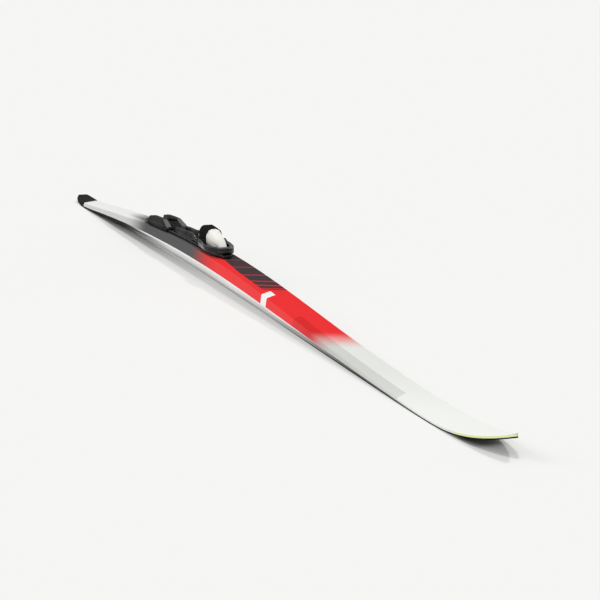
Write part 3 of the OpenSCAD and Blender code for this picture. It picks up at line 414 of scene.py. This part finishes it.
def plastic(changes):
    # fine grain, faint flow marks, edges lighter by wear and by a painted highlight, and shinier
    look = {**mouldedUsual, **changes}
    rgb = look["rgb"]
    f = Finish(look["name"])
    fine = f.noise(look["grain"], 2, 0.6)
    flow = f.noise(38, 4, 0.6)
    second = look["second"] or [c + 9 for c in rgb]
    light = linear(*[min(255, c + look["lift"]) for c in rgb])
    colour = f.mix(flow * 0.5, linear(*rgb), linear(*second))
    # edges painted lighter: partly wear, partly a painted highlight
    worn = f.edges(look["rim"])
    colour = f.mix(worn * (flow.step(0.3, 0.7) * 0.5 + 0.5) * look["wear"], colour, light)
    shine = worn * look["edge"] + flow * look["sheen"] * 2
    if look["ramp"] or look["scoopHighlight"]:
        x, y, z = f.xyz()
    # slopes that face forward painted lighter, a painted reflection, with some real polish in
    # the coat
    if look["ramp"]:
        beside = abs(y).step(0.0075, 0.0085)  # leaves out what lies between the ridges
        slope = f.facing("X").step(0.1, 0.3) * f.facing("Z").step(0.35, 0.6) * beside
        colour = f.mix(slope * look["ramp"], colour, light)
        shine = shine + slope * look["ramp"]
    # painted highlight: a lighter oval on the arm's sides
    if look["scoopHighlight"]:
        scoopHighlight = look["scoopHighlight"]
        ahead = x - scoopHighlight["x"]
        above = z - scoopHighlight["z"] + ahead * scoopHighlight["fall"]
        far = (ahead / scoopHighlight["long"]) ** 2 + (above / scoopHighlight["high"]) ** 2
        oval = far.step(1, 0.5) * abs(f.facing("Y")).step(0.3, 0.5)
        colour = f.mix(oval, colour, linear(*scoopHighlight["tone"]))
        shine = shine + oval * 0.3
    f.put(baseColor=colour, roughness=fine * 0.12 + flow * 0.08 + 0.5, specularLevel=0.0,
          coatWeight=shine, coatRoughness=look["rough"], normal=f.bump(fine, 0.00006, 0.5))
    if look["milk"]:
        # light wanders a centimetre inside a milky plastic
        f.put(subsurfaceWeight=look["milk"], subsurfaceScale=0.01,
              subsurfaceRadius=(1, 1, 0.9))
    return f.material


# rubber pieces: name and colour
rubbers = {"flexor": ("flexorRubber", (26, 26, 26)), "heel_pad": ("padRubber", (20, 20, 21))}


def rubber(name, rgb):
    f = Finish(name)
    fine = f.noise(2200, 3, 0.7)
    bloom = f.noise(70, 4, 0.65)
    colour = f.mix(bloom.step(0.35, 0.8) * 0.5, linear(*rgb), linear(*[c + 14 for c in rgb]))
    # edges painted lighter: partly wear, partly a painted highlight
    worn = f.edges(0.0006)
    colour = f.mix(worn * 0.3, colour, linear(*[c + 40 for c in rgb]))
    f.put(baseColor=colour, roughness=bloom * 0.15 + 0.6, specularLevel=0.0,
          coatWeight=worn * 0.3 + 0.03, coatRoughness=0.45, normal=f.bump(fine, 0.00008, 0.6))
    return f.material


# steel finishes: colour, roughness, how the brushing is stretched, and who wears them
metals = {
    "jawSteel": ((172, 173, 176), 0.3, (1, 14, 14), ["jaw"]),
    "springSteel": ((150, 150, 152), 0.35, (1, 14, 14), ["jaw_spring"]),
    "screwSteel": ((150, 150, 152), 0.38, (8, 8, 1),
                   ["plate_screws", "guide_screws", "toe_screws"]),
    "pinSteel": ((168, 168, 170), 0.3, (10, 1, 10), ["cap_pin", "lever_shaft", "clamp_pin"]),
}


def steel(name, rgb, rough, brush):
    f = Finish(name)
    lines = f.noise(420, 4, 0.7, f.stretched(*brush))
    spots = f.noise(120, 4, 0.6)
    colour = f.mix(spots * 0.35, linear(*rgb), linear(*[c * 0.82 for c in rgb]))
    f.put(baseColor=colour, metallic=1.0, roughness=lines * 0.2 + spots * 0.1 + rough - 0.1,
          normal=f.bump(lines, 0.00003, 0.4))
    return f.material


finishes = {"core": coreFinish(), "base": baseFinish(), "top_sheet": topFilm(),
            "tip_piece": tipFinish(), "tail_protector": tailFinish()}
finishes["sidewall_left"] = finishes["sidewall_right"] = sidewallFinish()
for name, changes in moulded.items():
    finishes[name] = plastic(changes)
for name, (look, rgb) in rubbers.items():
    finishes[name] = rubber(look, rgb)
for look, (rgb, rough, brush, wearers) in metals.items():
    metal = steel(look, rgb, rough, brush)
    for name in wearers:
        finishes[name] = metal
for name, piece in nodes.items():
    for holder in piece.material_slots:
        holder.material = finishes[name]
print("finishes:", len(set(finishes.values())))


def shadeGroup(degrees):
    # smooth faces, kept sharp where the surface turns by more than the angle
    group = bpy.data.node_groups.new(f"softShade{degrees}", "GeometryNodeTree")
    group.is_modifier = True
    for way in ("INPUT", "OUTPUT"):
        group.interface.new_socket("Geometry", in_out=way, socket_type="NodeSocketGeometry")
    g = Nodes(group)
    plain = g.node("GeometryNodeRemoveAttribute", None,
                   {"Geometry": g.node("NodeGroupInput"), "Name": "custom_normal"})
    smooth = g.node("GeometryNodeSetShadeSmooth", {"domain": "FACE"}, {"Geometry": plain})
    turn = g.node("GeometryNodeInputMeshEdgeAngle", out="Unsigned Angle")
    wide = turn.op("GREATER_THAN", degrees * pi / 180)
    sharp = g.node("GeometryNodeSetShadeSmooth", {"domain": "EDGE"},
                   {"Geometry": smooth, "Selection": wide, "Shade Smooth": False})
    g.node("NodeGroupOutput", None, [sharp])
    return group


softShades = {}


def shadeSoft(piece, degrees):
    if degrees not in softShades:
        softShades[degrees] = shadeGroup(degrees)
    piece.modifiers.new("softShade", "NODES").node_group = softShades[degrees]


def weldSeams(piece):
    seams = piece.modifiers.new("weldSeams", "WELD")
    seams.merge_threshold = 0.00001


def easeEdges(piece, width, degrees):
    # joins flat faces again, then rounds the moulded edges
    flat = piece.modifiers.new("joinFlats", "DECIMATE")
    flat.decimate_type = "DISSOLVE"
    flat.angle_limit = 1.5 * pi / 180
    eased = piece.modifiers.new("roundEdges", "BEVEL")
    eased.width, eased.segments = width, 2
    eased.limit_method, eased.angle_limit = "ANGLE", degrees * pi / 180


# radius of the rounded edges in metres, and the least angle in degrees that counts as an edge
edgeRadius = {
    "binding_plate": (0.0007, 28), "guide_rails": (0.0008, 14), "toe_housing": (0.0006, 28),
    "flexor": (0.0004, 22), "toe_cap": (0.0004, 9), "lever": (0.0011, 24),
    "heel_housing": (0.0009, 14), "heel_pad": (0.0003, 28), "clamp_lever": (0.0005, 14),
    "jaw": (0.0004, 28), "lever_grip": (0.0008, 24),
}
for name, piece in nodes.items():
    weldSeams(piece)
    if name in edgeRadius:
        radius, least = edgeRadius[name]
        easeEdges(piece, radius, least)
        shadeSoft(piece, least + 16)
    else:
        shadeSoft(piece, 32)
print("edges rounded:", len(edgeRadius))

# the latch spring gets its own copy of its mesh; the jaw's slide, the spring's fixed front end
# and the share of its length that it keeps are passed but not used
slide = next(joint for joint in frame["joints"] if joint["name"] == "jaw_slide")
springFront = slide["deforming_nodes"][0]["fixed_end_x_m"]
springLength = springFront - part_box("jaw_spring")[0].x
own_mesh(nodes["jaw_spring"], "jaw_slide", axis=(1, 0, 0), anchor=(springFront, 0, 0.05),
          keep=1 - slide["range_m"][1] / springLength)
print("spring length:", round(springLength, 5))

# studio: pale floor, soft light all round and three wide lamps; each lamp has its share of
# the light, its width and its place in degrees (round from +X, up)
studio = {
    "floorSize": 400, "floor": (246, 246, 244), "floorCloud": (244, 244, 242),
    "backdrop": (246, 246, 244), "air": 0.4,
    "lamps": {"behindLamp": (0.22, 5, 98, 68), "frontLamp": (0.28, 8, -36, 68),
              "sideLamp": (0.1, 30, -120, 32)},
    # share of glow in the floor along the ski, and beside its near edge at both ends
    "glow": [(-0.62, 0), (-0.5, 0.08), (-0.4, 0.13), (-0.3, 0.26), (-0.2, 0.35), (0, 0.5),
             (0.75, 0.58), (0.86, 0.5), (0.91, 0), (0.938, 0), (0.955, 0.22)],
    "sideGlow": [(-0.74, 0.45), (-0.6, 0), (0.6, 0), (0.75, 0.55)],
    "sideGlowY": (-0.016, -0.024),
}


def buildFloor():
    # the floor glows for the camera only, by a share that changes along the ski: painted light
    # that keeps the shadow under the arch pale
    size = studio["floorSize"] / 2
    mesh = bpy.data.meshes.new("floor")
    mesh.from_pydata([(-size, -size, 0), (size, -size, 0), (size, size, 0), (-size, size, 0)],
                     [], [(0, 1, 2, 3)])
    floor = bpy.data.objects.new("floor", mesh)
    bpy.context.scene.collection.objects.link(floor)
    f = Finish("floorPaint")
    x, y, z = f.xyz()
    paint = linear(*studio["floor"])
    f.put(baseColor=f.mix(f.noise(1.2, 2) * 0.1, paint, linear(*studio["floorCloud"])),
          roughness=0.95, specularLevel=0.0)
    beside = f.along(x, studio["sideGlow"]) * y.step(*studio["sideGlowY"])
    share = f.along(x, studio["glow"]).most(beside)
    seen = f.node("ShaderNodeLightPath", out="Is Camera Ray")
    glow = f.node("ShaderNodeEmission", None, {"Color": paint})
    lit = Sock(f, f.shader.outputs[0])
    both = f.node("ShaderNodeMixShader", None, [share * seen, lit, glow])
    f.feed(f.tree.nodes["Material Output"].inputs["Surface"], both)
    mesh.materials.append(f.material)


def lightStudio():
    world = bpy.data.worlds.new("studioAir")
    bpy.context.scene.world = world
    world.use_nodes = True
    w = Nodes(world.node_tree)
    background = w.tree.nodes["Background"]
    w.feed(background.inputs["Color"], (1, 1, 1, 1))
    w.feed(background.inputs["Strength"], studio["air"])
    seen = w.node("ShaderNodeBackground", None, {"Color": linear(*studio["backdrop"])})
    straight = w.node("ShaderNodeLightPath", out="Is Camera Ray")
    rays = straight.socket.node.outputs
    for kind in ("Is Glossy Ray", "Is Transmission Ray"):
        straight = straight.most(Sock(w, rays[kind]))
    air = Sock(w, background.outputs[0])
    choice = w.node("ShaderNodeMixShader", None, [straight, air, seen])
    w.feed(w.tree.nodes["World Output"].inputs["Surface"], choice)
    for name, (share, width, around, up) in studio["lamps"].items():
        lamp = bpy.data.lights.new(name, "SUN")
        up, around = up * pi / 180, around * pi / 180
        lamp.energy, lamp.angle = share * pi / sin(up), width * pi / 180
        holder = bpy.data.objects.new(name, lamp)
        bpy.context.scene.collection.objects.link(holder)
        away = Vector((cos(around) * cos(up), sin(around) * cos(up), sin(up)))
        holder.rotation_mode = "QUATERNION"
        holder.rotation_quaternion = away.to_track_quat("Z", "Y")


# the eye stands near the tip, low and close, and looks back along the ski; metres, radians
# and millimetres of lens
eye = {"at": (2.2968, -0.64647, 0.4194), "yaw": 2.8153, "down": 0.1858, "lens": 98.13}


def placeCamera():
    data = bpy.data.cameras.new("eye")
    data.sensor_width, data.lens = 36, eye["lens"]
    data.clip_start, data.clip_end = 0.01, 1000
    camera = bpy.data.objects.new("eye", data)
    bpy.context.scene.collection.objects.link(camera)
    yaw, down = eye["yaw"], eye["down"]
    ahead = Vector((cos(yaw) * cos(down), sin(yaw) * cos(down), -sin(down)))
    camera.location = eye["at"]
    camera.rotation_mode = "QUATERNION"
    camera.rotation_quaternion = ahead.to_track_quat("-Z", "Y")
    bpy.context.scene.camera = camera


buildFloor()
lightStudio()
placeCamera()
bpy.context.scene.view_settings.view_transform = "Standard"
print("studio ready")
